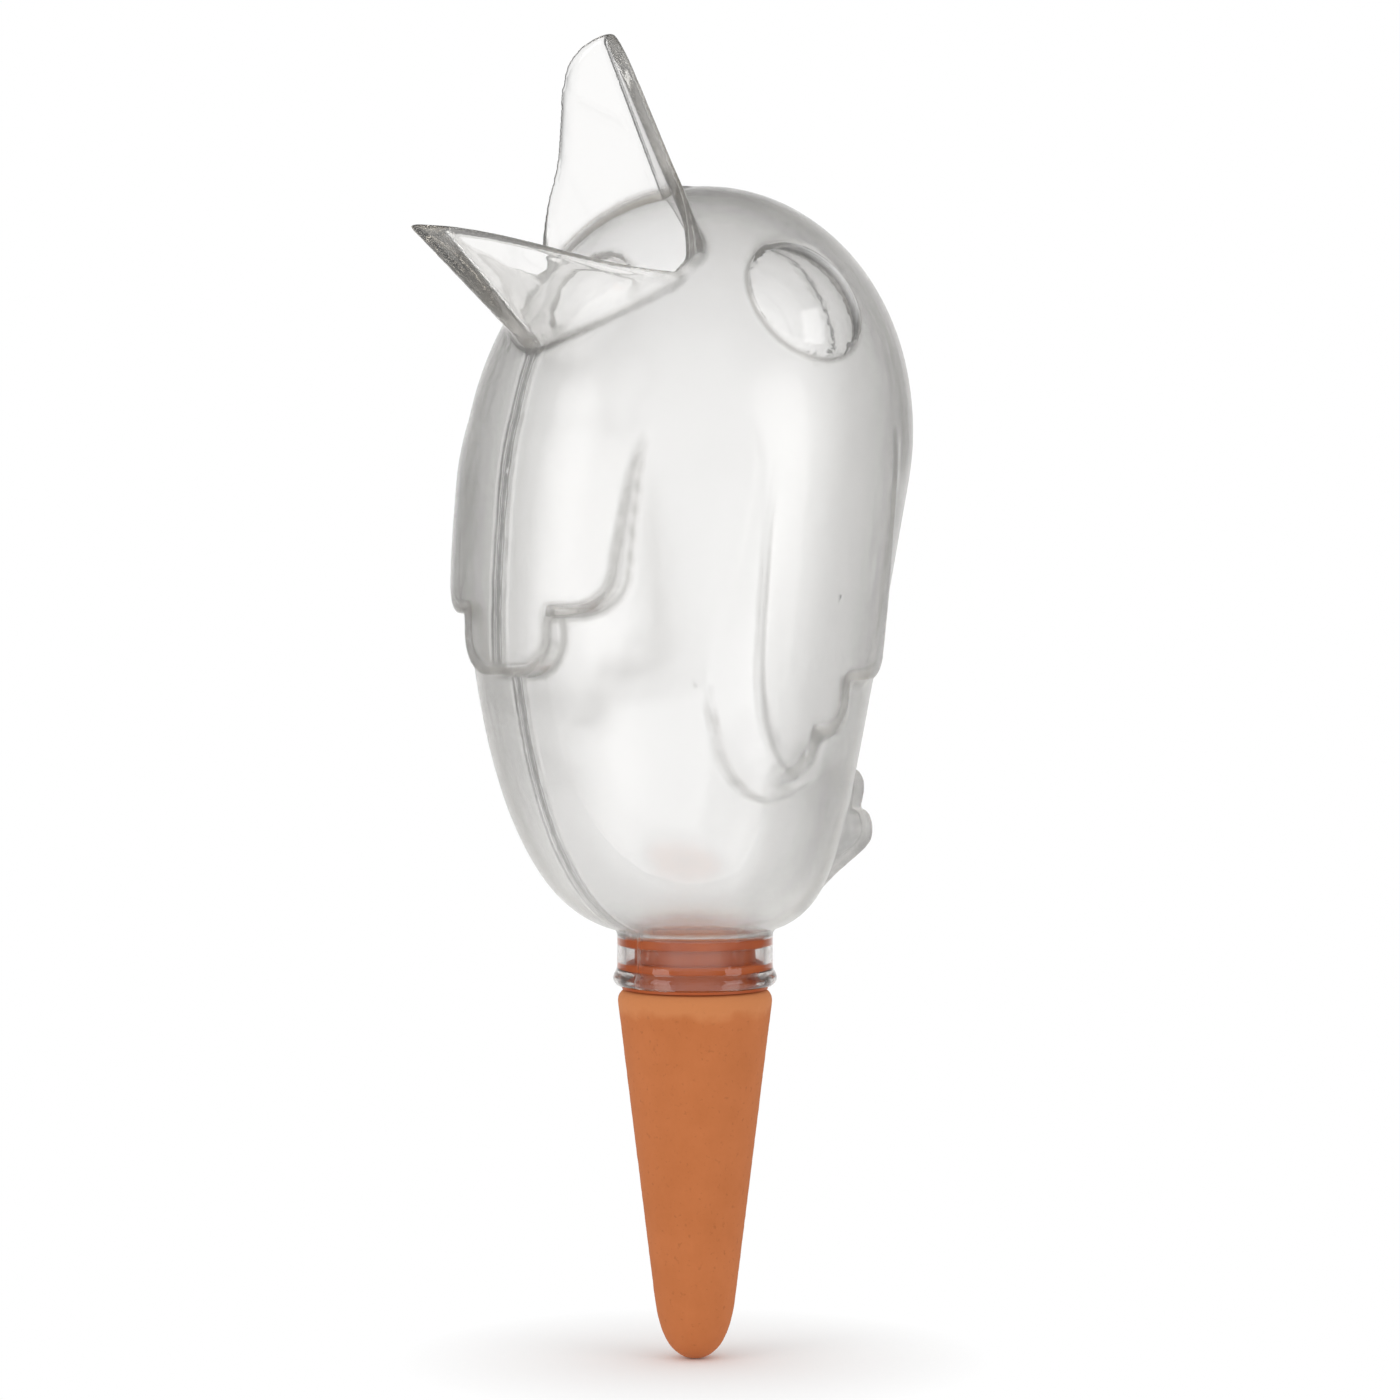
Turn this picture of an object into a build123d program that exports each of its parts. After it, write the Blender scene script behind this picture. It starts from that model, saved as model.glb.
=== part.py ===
"""A self-watering spike: a clear moulded bird that holds water, on a porous clay cone.

Millimetres, +Z up. The origin is on the cone's axis at the soil line, the flat shoulder of the
clay. The bird faces -Y and its left side is +X. Two mirrored half shells are welded together on
the plane X = 0, and the bird's neck pushes over a lipped seal on the cone's spigot.
"""
import math
import os

from build123d import *

os.makedirs("parts", exist_ok=True)

# Clay cone
SPIKE_LENGTH = 69.4
SHOULDER_RADIUS = 14.4
SHOULDER_ROUND = 2.2
CONE_HALF_ANGLE = 7.0
TIP_HEIGHT = 11.7
CLAY_WALL = 4.4
TIP_FULLNESS = 0.6
SPIGOT_RADIUS = 9.6
SPIGOT_STANDOUT = 0.8
FIT_CLEARANCE = 0.05

# Seal sleeve
COLLAR_THICKNESS = 0.5
COLLAR_RADIUS = 13.6
SLEEVE_WALL = 1.6
SLEEVE_HEIGHT = 10.0
LIP_HEIGHT = 1.9
LIP_ROUND = 0.5
LOWER_LIP_LEVEL = 4.1
UPPER_LIP_LEVEL = 8.8

# Neck and flange of the bird
SHELL_WALL = 1.6
NECK_RADIUS = 14.5
NECK_LENGTH = 9.6
NECK_OVERLAP = 4.8  # how far the neck runs up into the egg
FLANGE_RADIUS = 15.3
FLANGE_HEIGHT = 3.0
FLANGE_ROUND = 1.3

# Egg-shaped body
BODY_DEPTH = 87.6
BODY_WIDTH = 77.0
CROWN_RISE = 50.1
BELLY_DROP = 88.5
BELLY_TAPER = 1.2
BELLY_ROUND = 4.0
CHEST_LEAN = 5.8
CROWN_LEAN = 2.8
EGG_FOOT_ANGLE = 13.0
EGG_CROWN_ANGLE = 86.0
FOOT_ROUND_POWER = 6
BELLY_STEPS = 8
CROWN_STEPS = 7

# Chest bib, its levels given as drops from the body's widest level
BIB_FADE_DROP = -7.0
BIB_HEM_DROP = 28.4
BIB_PROUD = 3.8
BIB_TOP_HALF_WIDTH = 25.0
BIB_HEM_HALF_WIDTH = 21.7
BIB_CORNER = 8.0
BIB_LOBE_HALF_WIDTH = 11.4
BIB_LOBE_LENGTH = 10.9
BIB_LOBE_CORNER = 7.5

# Wings, drawn in side view, their levels given as drops from the body's widest level
WING_FADE_DROP = -6.0
WING_PROUD = 4.0
WING_LEAN = 5.8
WING_SEAT_DEPTH = 6.0
WING_SHOULDER_Y = -17.5
WING_FRONT_Y = -26.3
WING_FRONT_DROP = 33.0
WING_TIP_Y = -7.0
WING_TIP_DROP = 66.6
WING_REAR_Y = 9.0
WING_REAR_DROP = 60.0
CREST_SHOULDER_Y = -11.0
CREST_FRONT_Y = -15.0
CREST_FRONT_DROP = 27.0
CREST_TIP_Y = -4.5
CREST_TIP_DROP = 54.9
CREST_REAR_Y = -3.8
CREST_REAR_DROP = 53.5
CREST_REACH = 8.5
WING_BEVEL = 53.0
SECOND_FEATHER_REAR_Y = 6.8
SECOND_FEATHER_DROP = 50.2
THIRD_FEATHER_REAR_Y = 19.2
THIRD_FEATHER_DROP = 40.8
FEATHER_CORNER = 4.5

# Eyes, placed from the body's side and widest level
EYE_RADIUS = 17.2
EYE_CENTRE_DEPTH = 18.9
EYE_CENTRE_Y = -0.5
EYE_CENTRE_RISE = 21.9

# Tail, its reach given from the body's back and its levels from the foot of the egg
TAIL_HALF_WIDTH = 7.0
TAIL_TOP_RISE = 30.0
TAIL_UPPER_RISE = 25.4
TAIL_UPPER_REACH = -6.0
TAIL_NOTCH_RISE = 22.0
TAIL_NOTCH_REACH = -7.0
TAIL_LOWER_RISE = 19.6
TAIL_LOWER_REACH = -4.0
TAIL_TAPER_RISE = 3.0
TAIL_TAPER_REACH = -22.0

# Beak funnel, its root placed from the body's front and widest level
BEAK_SLOPE = 48.9
BEAK_ROOT_SETBACK = 19.3
BEAK_ROOT_RISE = 34.1
BEAK_ROOF_FLARE = 13.7
BEAK_KEEL_FLARE = 12.5
BEAK_ROOF_HEIGHT = 24.2
BEAK_KEEL_DEPTH = 22.9
BEAK_BACK_LENGTH = 22.0
BEAK_BACK_HALF_WIDTH = 22.6
BEAK_BACK_ROOF_ANGLE = 53.7
BEAK_BACK_KEEL_ANGLE = 58.0
BEAK_BACK_BULGE = 4.8
BEAK_FRONT_LENGTH = 44.0
BEAK_FRONT_HALF_WIDTH = 16.5
BEAK_FRONT_ROOF_ANGLE = 54.0
BEAK_FRONT_KEEL_ANGLE = 24.0
BEAK_FRONT_BULGE = 1.0
BEAK_RIDGE_ROUND = 3.0
BEAK_CHEEK_ROUND = 5.0
BEAK_KEEL_ROUND = 1.5
BEAK_WALL = 2.2

# Mouth rim in side view, measured from the beak's root
UPPER_TIP_FORWARD = -5.0
UPPER_TIP_RISE = 43.4
UPPER_NOSE_FORWARD = -0.2
UPPER_NOSE_RISE = 36.6
UPPER_RIM_FORWARD = -3.4
UPPER_RIM_RISE = 21.0
MOUTH_CORNER_FORWARD = -4.5
MOUTH_CORNER_DROP = 1.3
MOUTH_CORNER_ROUND = 2.5
LOWER_RIM_FORWARD = 21.5
LOWER_RIM_RISE = 3.1
LOWER_TIP_FORWARD = 45.5
LOWER_TIP_RISE = 6.2

# Places that follow from the sizes above
NECK_BOTTOM = COLLAR_THICKNESS
NECK_BORE = NECK_RADIUS - SHELL_WALL
EGG_FOOT = NECK_BOTTOM + NECK_LENGTH
WIDEST_LEVEL = EGG_FOOT + BELLY_DROP
EGG_HEIGHT = BELLY_DROP + CROWN_RISE
BEAK_ROOT_Y = BEAK_ROOT_SETBACK - BODY_DEPTH / 2
BEAK_ROOT_LEVEL = WIDEST_LEVEL + BEAK_ROOT_RISE
SPIGOT_HEIGHT = SLEEVE_HEIGHT + SPIGOT_STANDOUT
FAR = 2 * EGG_HEIGHT


def egg_lean(level):
    """How far the body's centre line stands behind the neck's axis."""
    share = (level - EGG_FOOT) / EGG_HEIGHT
    # This cubic is 0 at the foot and the crown and peaks at 1, a third of the way up
    chest_bulge = 27 / 4 * share * (1 - share) ** 2
    return CROWN_LEAN * share - CHEST_LEAN * chest_bulge


def egg_sections(inset):
    """Levels and size fractions of the body's sections, from the neck to the crown."""
    sections = []
    for step in range(BELLY_STEPS):
        angle = EGG_FOOT_ANGLE + step * (90 - EGG_FOOT_ANGLE) / BELLY_STEPS
        fraction = math.sin(math.radians(angle))
        fall = (1 - fraction**BELLY_ROUND) ** (1 / BELLY_TAPER)
        sections.append((WIDEST_LEVEL - fall * (BELLY_DROP - inset), fraction))
    for step in range(CROWN_STEPS + 1):
        angle = math.radians(step * EGG_CROWN_ANGLE / CROWN_STEPS)
        level = WIDEST_LEVEL + math.sin(angle) * (CROWN_RISE - inset)
        sections.append((level, math.cos(angle)))
    return sections


def egg(inset, fade_level=0.0, swell_slope=0.0):
    """The egg drawn in by inset. Below fade_level it swells by swell_slope for each mm."""
    with BuildPart() as body:
        for level, fraction in egg_sections(inset):
            grown = swell_slope * (fade_level - level) - inset
            half_depth = (BODY_DEPTH / 2 + grown) * fraction
            half_width = (BODY_WIDTH / 2 + grown) * fraction
            roundness = (1 - max(0.0, level - EGG_FOOT) / EGG_HEIGHT) ** FOOT_ROUND_POWER
            half_width += (half_depth - half_width) * roundness
            with BuildSketch(Plane.XY.offset(level)):
                with Locations((0, egg_lean(level))):
                    Ellipse(half_width, half_depth)
        loft()
    return body.part


def neck(inset):
    """The round neck below the egg. Drawn in, it is the neck's bore and runs out at the bottom."""
    with BuildPart() as tube:
        bottom = NECK_BOTTOM - inset
        with BuildSketch(Plane.XY.offset(bottom)):
            Circle(NECK_RADIUS - inset)
        extrude(amount=EGG_FOOT + NECK_OVERLAP - bottom)
    return tube.part


def bib(inset):
    """The raised chest plate with its hanging middle lobe."""
    fade_level = WIDEST_LEVEL - BIB_FADE_DROP
    hem_level = WIDEST_LEVEL - BIB_HEM_DROP
    plumage = egg(inset, fade_level, BIB_PROUD / (fade_level - hem_level))
    hem = hem_level + inset
    lobe_height = 2 * (WIDEST_LEVEL - hem + BIB_LOBE_LENGTH)
    with BuildPart() as plate:
        with BuildSketch(Plane.XZ) as outline:
            with BuildLine():
                Polyline(
                    (0, fade_level),
                    (BIB_TOP_HALF_WIDTH - inset, fade_level),
                    (BIB_HEM_HALF_WIDTH - inset, hem),
                    (0, hem),
                )
                mirror(about=Plane.YZ)
            make_face()
            fillet(outline.vertices().group_by(Axis.Y)[0], BIB_CORNER - inset)
            with Locations((0, WIDEST_LEVEL)):
                RectangleRounded(2 * (BIB_LOBE_HALF_WIDTH - inset), lobe_height, BIB_LOBE_CORNER - inset)
        extrude(amount=FAR)
        add(plumage, mode=Mode.INTERSECT)
    return plate.part


def leaf_outline(shoulder_y, front, tip, rear):
    """Outline of the wing's long feather: a straight front, a quarter ellipse and a blunt rear."""
    shoulder_rise = CROWN_RISE / 2
    Line((shoulder_y, shoulder_rise), front)
    EllipticalCenterArc(
        (tip[0], front[1]), tip[0] - front[0], front[1] - tip[1], start_angle=180, arc_size=90
    )
    Polyline(tip, rear, (rear[0], shoulder_rise), (shoulder_y, shoulder_rise))


def wing(inset):
    """The left wing: a long bevelled leaf and two stepped feathers, fading at the shoulder."""
    lean = math.radians(WING_LEAN)
    seat = Plane(
        (BODY_WIDTH / 2 - WING_SEAT_DEPTH, 0, WIDEST_LEVEL),
        x_dir=(0, 1, 0),
        z_dir=(math.cos(lean), 0, -math.sin(lean)),
    )
    fade_level = WIDEST_LEVEL - WING_FADE_DROP
    tip_level = WIDEST_LEVEL - WING_TIP_DROP
    plumage = egg(inset, fade_level, WING_PROUD / (fade_level - tip_level))
    shrink = inset / math.cos(math.radians(WING_BEVEL))
    with BuildPart() as plate:
        with BuildSketch(seat):
            with BuildLine():
                leaf_outline(
                    WING_SHOULDER_Y + shrink,
                    (WING_FRONT_Y + shrink, -WING_FRONT_DROP),
                    (WING_TIP_Y - shrink, shrink - WING_TIP_DROP),
                    (WING_REAR_Y - shrink, shrink - WING_REAR_DROP),
                )
            make_face()
        with BuildSketch(seat.offset(CREST_REACH)):
            with BuildLine():
                leaf_outline(
                    CREST_SHOULDER_Y + shrink,
                    (CREST_FRONT_Y + shrink, -CREST_FRONT_DROP),
                    (CREST_TIP_Y - shrink, shrink - CREST_TIP_DROP),
                    (CREST_REAR_Y - shrink, shrink - CREST_REAR_DROP),
                )
            make_face()
        loft(ruled=True)
        with BuildSketch(seat.offset(-BODY_WIDTH / 4)):
            for rear_y, drop in (
                (SECOND_FEATHER_REAR_Y, SECOND_FEATHER_DROP),
                (THIRD_FEATHER_REAR_Y, THIRD_FEATHER_DROP),
            ):
                width = rear_y - CREST_TIP_Y - inset
                height = CROWN_RISE / 2 + drop - inset
                with Locations((CREST_TIP_Y + width / 2, CROWN_RISE / 2 - height / 2)):
                    RectangleRounded(width, height, FEATHER_CORNER)
        extrude(amount=BODY_WIDTH / 4 + CREST_REACH)
        add(plumage, mode=Mode.INTERSECT)
    return plate.part


def eye(inset):
    """The left eye: a ball set into the side of the head, so that a dome stands out."""
    centre_x = BODY_WIDTH / 2 - EYE_CENTRE_DEPTH
    with BuildPart() as ball:
        with Locations((centre_x, EYE_CENTRE_Y, WIDEST_LEVEL + EYE_CENTRE_RISE)):
            Sphere(EYE_RADIUS - inset)
    return ball.part


def tail(inset):
    """Two stacked tail feathers on the middle of the back, drawn in side view."""
    back = BODY_DEPTH / 2 - inset
    top = (0, EGG_FOOT + TAIL_TOP_RISE - inset)
    upper = (back + TAIL_UPPER_REACH, EGG_FOOT + TAIL_UPPER_RISE)
    notch = (back + TAIL_NOTCH_REACH, EGG_FOOT + TAIL_NOTCH_RISE)
    lower = (back + TAIL_LOWER_REACH, EGG_FOOT + TAIL_LOWER_RISE)
    taper = (back + TAIL_TAPER_REACH, EGG_FOOT + TAIL_TAPER_RISE + inset)
    shoulder = (upper[0] - TAIL_TOP_RISE + TAIL_UPPER_RISE, top[1])
    with BuildPart() as feathers:
        with BuildSketch(Plane.YZ):
            with BuildLine():
                Line(top, shoulder)
                Spline(shoulder, upper, notch, tangents=[(1, 0), (-0.3, -1)])
                Spline(notch, lower, taper, tangents=[(1, 0), (-1, -1)])
                Polyline(taper, (0, taper[1]), top)
            make_face()
        extrude(amount=TAIL_HALF_WIDTH - inset, both=True)
    return feathers.part


def beak_funnel(inset):
    """The beak before its mouth is cut: a ridged roof, round cheeks and a keel, all flaring."""
    slope = math.radians(BEAK_SLOPE)
    forward = (0, -math.cos(slope), math.sin(slope))
    root = Plane((0, BEAK_ROOT_Y, BEAK_ROOT_LEVEL), x_dir=(1, 0, 0), z_dir=forward)
    back = (
        -BEAK_BACK_LENGTH, BEAK_BACK_HALF_WIDTH, BEAK_BACK_ROOF_ANGLE, BEAK_BACK_KEEL_ANGLE,
        BEAK_BACK_BULGE,
    )
    front = (
        BEAK_FRONT_LENGTH, BEAK_FRONT_HALF_WIDTH, BEAK_FRONT_ROOF_ANGLE, BEAK_FRONT_KEEL_ANGLE,
        BEAK_FRONT_BULGE,
    )
    with BuildPart() as funnel:
        for reach, outer_half_width, roof_angle, keel_angle, bulge in (back, front):
            roof_growth = reach * math.tan(math.radians(BEAK_ROOF_FLARE))
            keel_growth = reach * math.tan(math.radians(BEAK_KEEL_FLARE))
            roof = math.radians(roof_angle)
            side = math.radians(keel_angle)
            half_width = outer_half_width - inset
            ridge = (0, BEAK_ROOF_HEIGHT + roof_growth - inset / math.sin(roof))
            keel = (0, inset / math.sin(side) - BEAK_KEEL_DEPTH - keel_growth)
            eave = (half_width, ridge[1] - half_width / math.tan(roof))
            cheek = (half_width, keel[1] + half_width / math.tan(side))
            with BuildSketch(root.offset(reach)) as section:
                with BuildLine():
                    Polyline(ridge, eave, cheek)
                    SagittaArc(cheek, keel, bulge)
                    mirror(about=Plane.YZ)
                make_face()
                fillet(section.vertices().sort_by(Axis.Y)[1:-1], BEAK_CHEEK_ROUND - inset)
                fillet(section.vertices().sort_by(Axis.Y)[0], BEAK_KEEL_ROUND)
                fillet(section.vertices().sort_by(Axis.Y)[-1], BEAK_RIDGE_ROUND - inset)
        loft(ruled=True)
    return funnel.part


def mouth_cut():
    """The wedge in front of the beak's rim, which opens the mouth."""
    upper_tip = (BEAK_ROOT_Y - UPPER_TIP_FORWARD, BEAK_ROOT_LEVEL + UPPER_TIP_RISE)
    upper_nose = (BEAK_ROOT_Y - UPPER_NOSE_FORWARD, BEAK_ROOT_LEVEL + UPPER_NOSE_RISE)
    upper_rim = (BEAK_ROOT_Y - UPPER_RIM_FORWARD, BEAK_ROOT_LEVEL + UPPER_RIM_RISE)
    corner = (BEAK_ROOT_Y - MOUTH_CORNER_FORWARD, BEAK_ROOT_LEVEL - MOUTH_CORNER_DROP)
    lower_rim = (BEAK_ROOT_Y - LOWER_RIM_FORWARD, BEAK_ROOT_LEVEL + LOWER_RIM_RISE)
    lower_tip = (BEAK_ROOT_Y - LOWER_TIP_FORWARD, BEAK_ROOT_LEVEL + LOWER_TIP_RISE)
    with BuildPart() as wedge:
        with BuildSketch(Plane.YZ):
            with BuildLine():
                Spline(upper_tip, upper_nose, tangents=[(-1, -0.2), (0.1, -1)])
                Spline(upper_nose, upper_rim, corner, tangents=[(0.1, -1), (0, -1)])
                Spline(corner, lower_rim, lower_tip, tangents=[(-1, 0), (-1, -0.1)])
                Polyline(lower_tip, (-FAR, lower_tip[1]), (-FAR, FAR), (upper_tip[0], FAR), upper_tip)
            make_face()
        extrude(amount=FAR, both=True)
        inner_edge = wedge.edges().filter_by(Axis.X).sort_by_distance((0, *corner))[0]
        fillet(inner_edge, MOUTH_CORNER_ROUND)
    return wedge.part


def bird_body(inset):
    """The bird without its beak, as a solid drawn in by inset."""
    forms = [shape(inset) for shape in (egg, neck, bib, wing, eye, tail)]
    with BuildPart() as body:
        for form in forms:
            add(form)
    return body.part


def flange():
    """The rounded rim at the foot of the neck."""
    with BuildPart() as ring:
        with BuildSketch(Plane.XY.offset(NECK_BOTTOM)):
            Circle(FLANGE_RADIUS)
        extrude(amount=FLANGE_HEIGHT)
        fillet(ring.edges(), FLANGE_ROUND)
    return ring.part


# Left half of the bird: the outer forms less the hollow, on the left of the seam
outer_body = bird_body(0)
outer_beak = beak_funnel(0)
mouth = mouth_cut()
rim = flange()
hollow_body = bird_body(SHELL_WALL)
hollow_beak = beak_funnel(BEAK_WALL)

with BuildPart() as left_half:
    add(outer_beak)
    add(mouth, mode=Mode.SUBTRACT)
    add(outer_body)
    add(rim)
    add(hollow_body, mode=Mode.SUBTRACT)
    add(hollow_beak, mode=Mode.SUBTRACT)
    split(bisect_by=Plane.YZ, keep=Keep.TOP)
left_half.part.label = "left_half"
export_step(left_half.part, "parts/left_half.step")

# Right half, the mirror image
with BuildPart() as right_half:
    add(mirror(left_half.part, about=Plane.YZ, mode=Mode.PRIVATE))
right_half.part.label = "right_half"
export_step(right_half.part, "parts/right_half.step")

# Seal sleeve: a thin collar under the neck and two lips that grip the neck's bore
SLEEVE_BORE = SPIGOT_RADIUS + FIT_CLEARANCE
SLEEVE_RADIUS = SLEEVE_BORE + SLEEVE_WALL
LIP_RADIUS = NECK_BORE - FIT_CLEARANCE
with BuildPart() as seal_sleeve:
    with BuildSketch():
        Circle(COLLAR_RADIUS)
    extrude(amount=COLLAR_THICKNESS)
    with BuildSketch():
        Circle(SLEEVE_RADIUS)
    extrude(amount=SLEEVE_HEIGHT)
    for lip_level in (LOWER_LIP_LEVEL, UPPER_LIP_LEVEL):
        with BuildSketch(Plane.XY.offset(lip_level - LIP_HEIGHT / 2)):
            Circle(LIP_RADIUS)
        extrude(amount=LIP_HEIGHT)
    lip_edges = seal_sleeve.edges().filter_by(GeomType.CIRCLE)
    lip_edges = lip_edges.filter_by(lambda edge: math.isclose(edge.radius, LIP_RADIUS))
    fillet(lip_edges, LIP_ROUND)
    with BuildSketch():
        Circle(SLEEVE_BORE)
    extrude(amount=SLEEVE_HEIGHT, mode=Mode.SUBTRACT)
seal_sleeve.part.label = "seal_sleeve"
export_step(seal_sleeve.part, "parts/seal_sleeve.step")


def cone_side(top_level, wall):
    """Side outline of the cone from top_level to the axis at the tip, drawn in by wall."""
    slope = math.tan(math.radians(CONE_HALF_ANGLE))
    tip_level = TIP_HEIGHT - SPIKE_LENGTH
    wide_radius = SHOULDER_RADIUS + (SHOULDER_ROUND + top_level) * slope - wall
    tip_radius = SHOULDER_RADIUS + (SHOULDER_ROUND + tip_level) * slope - wall
    pole = (0, wall - SPIKE_LENGTH)
    reach = (tip_level - pole[1]) * TIP_FULLNESS
    knee = (tip_radius - reach * slope, tip_level - reach)
    side = Line((wide_radius, top_level), (tip_radius, tip_level))
    Bezier((tip_radius, tip_level), knee, (tip_radius * TIP_FULLNESS, pole[1]), pole)
    return side


# Clay cone with its spigot and blind bore
SPIGOT_BORE = SPIGOT_RADIUS - CLAY_WALL
with BuildPart() as clay_cone:
    with BuildSketch(Plane.XZ):
        with BuildLine():
            side = cone_side(-SHOULDER_ROUND, 0)
            TangentArc((SHOULDER_RADIUS - SHOULDER_ROUND, 0), side @ 0, tangent=(1, 0))
            Polyline(
                (SHOULDER_RADIUS - SHOULDER_ROUND, 0),
                (SPIGOT_RADIUS, 0),
                (SPIGOT_RADIUS, SPIGOT_HEIGHT),
                (0, SPIGOT_HEIGHT),
                (0, -SPIKE_LENGTH),
            )
        make_face()
    revolve(axis=Axis.Z)
    with BuildSketch(Plane.XZ):
        with BuildLine():
            hollow = cone_side(-CLAY_WALL, CLAY_WALL)
            Polyline(
                hollow @ 0,
                (SPIGOT_BORE, -CLAY_WALL),
                (SPIGOT_BORE, SPIGOT_HEIGHT),
                (0, SPIGOT_HEIGHT),
                (0, CLAY_WALL - SPIKE_LENGTH),
            )
        make_face()
    revolve(axis=Axis.Z, mode=Mode.SUBTRACT)
clay_cone.part.label = "clay_cone"
export_step(clay_cone.part, "parts/clay_cone.step")
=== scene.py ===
# %% [markdown]
# A self watering spike: a clear plastic bird full of water sits by its neck on a
# seal and a clay cone, and the cone is pushed into the soil of a plant pot.
# The CAD model already has every size, so this lesson only adds what a CAD model
# lacks: soft moulded edges, real finishes, light and a camera.

# %% Load the CAD frame
import math

import bpy
import numpy as np
from mathutils import Matrix, Vector


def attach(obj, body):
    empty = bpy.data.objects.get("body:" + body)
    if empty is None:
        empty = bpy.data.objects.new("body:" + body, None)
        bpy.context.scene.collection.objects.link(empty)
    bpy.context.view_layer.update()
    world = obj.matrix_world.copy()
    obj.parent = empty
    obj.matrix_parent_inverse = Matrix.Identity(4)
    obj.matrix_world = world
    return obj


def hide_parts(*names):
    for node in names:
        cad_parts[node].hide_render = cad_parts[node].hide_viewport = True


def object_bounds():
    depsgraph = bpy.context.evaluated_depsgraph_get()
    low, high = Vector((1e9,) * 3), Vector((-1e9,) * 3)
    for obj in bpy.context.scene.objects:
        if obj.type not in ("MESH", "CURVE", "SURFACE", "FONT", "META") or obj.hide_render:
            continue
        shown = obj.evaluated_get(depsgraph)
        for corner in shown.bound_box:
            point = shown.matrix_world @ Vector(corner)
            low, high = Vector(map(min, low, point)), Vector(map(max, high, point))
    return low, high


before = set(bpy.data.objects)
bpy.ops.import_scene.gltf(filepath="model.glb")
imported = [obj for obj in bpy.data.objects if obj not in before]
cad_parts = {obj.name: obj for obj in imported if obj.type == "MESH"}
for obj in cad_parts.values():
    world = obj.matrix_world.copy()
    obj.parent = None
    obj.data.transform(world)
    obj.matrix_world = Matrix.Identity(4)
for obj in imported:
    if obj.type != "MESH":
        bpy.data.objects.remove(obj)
cad_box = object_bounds()
MM = 0.001
print("CAD nodes:", sorted(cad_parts))

# %% [markdown]
# The camera stands where the photo was taken from: to the bird's front left, at the
# height of its chest, nearly a metre away with a long lens. A long lens keeps the
# cone's sides straight. The camera is tilted a little down to bring the tip of the
# cone into the frame, which needs no lens shift.

# %% Camera
CAMERA_AZIMUTH = math.radians(47)
CAMERA_DISTANCE = 890 * MM
CAMERA_HEIGHT = 93.3 * MM
AIM_HEIGHT = 53.6 * MM
AIM_ASIDE = 0.93 * MM
SENSOR_WIDTH = 36
FOCAL_LENGTH = 123.4
towards_camera = Vector((math.sin(CAMERA_AZIMUTH), -math.cos(CAMERA_AZIMUTH), 0))
picture_right = Vector((math.cos(CAMERA_AZIMUTH), math.sin(CAMERA_AZIMUTH), 0))

stand = towards_camera * CAMERA_DISTANCE + Vector((0, 0, CAMERA_HEIGHT))
aim = Vector((0, 0, AIM_HEIGHT)) + picture_right * AIM_ASIDE
bpy.ops.object.select_all(action="DESELECT")
bpy.ops.object.camera_add(location=stand)
camera = bpy.context.active_object
camera.rotation_euler = (aim - camera.location).to_track_quat("-Z", "Y").to_euler()
camera.data.sensor_width = SENSOR_WIDTH
camera.data.lens = FOCAL_LENGTH
bpy.context.scene.camera = camera
bpy.context.scene.view_settings.view_transform = "Standard"
print("camera at", tuple(round(c, 3) for c in camera.location))

# %% [markdown]
# Colours are written as the hex values that a colour picker shows. Blender mixes
# light in linear values, so one function turns the one into the other. A second
# small function adds a node, sets its sockets and links it to the nodes before it.

# %% Helpers for materials
SOFT_STEP = {"interpolation_type": "SMOOTHSTEP"}


def linear(hex_colour):
    """An sRGB hex colour as linear RGBA."""
    channels = [int(hex_colour[i : i + 2], 16) / 255 for i in (1, 3, 5)]
    return [c / 12.92 if c <= 0.04045 else ((c + 0.055) / 1.055) ** 2.4 for c in channels] + [1]


def add_node(tree, kind, settings=None, **sockets):
    """A new node. A keyword names a socket by its label, or by its number after a _."""
    node = tree.nodes.new(kind)
    for name, value in (settings or {}).items():
        setattr(node, name, value)
    for name, value in sockets.items():
        socket = node.inputs[int(name[1:]) if name[1:].isdigit() else name.replace("_", " ")]
        if isinstance(value, bpy.types.NodeSocket):
            tree.links.new(value, socket)
        else:
            socket.default_value = value
    return node


def new_material(name):
    """An empty node material with its output node."""
    material = bpy.data.materials.new(name)
    material.use_nodes = True
    material.node_tree.nodes.clear()
    output = material.node_tree.nodes.new("ShaderNodeOutputMaterial")
    return material, material.node_tree, output


print("orange clay in linear values:", [round(c, 3) for c in linear("#C1703C")])

# %% [markdown]
# Clear plastic shows what stands around it more than its own colour. The studio is
# a tent with a white back, dark side walls, a dark roof and a grey front: the white
# shows through the belly, and the dark walls darken the sides of the bird and its
# crown, as in the photo. The world draws that tent for mirrored and transmitted
# rays, plain white for the camera, and an even light for everything else.

# %% World
TENT_FRONT = 0.55
TENT_WALL = 0.08
TENT_ROOF = 0.04
EVEN_LIGHT = 0.70
# Where a sheet of the tent starts and ends, as a share of a ray's direction
WALL_FROM, WALL_TO = 0.24, 0.70
BACK_FROM, BACK_TO = -0.3, 0.4
ROOF_FROM, ROOF_TO = 0.24, 0.62

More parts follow.
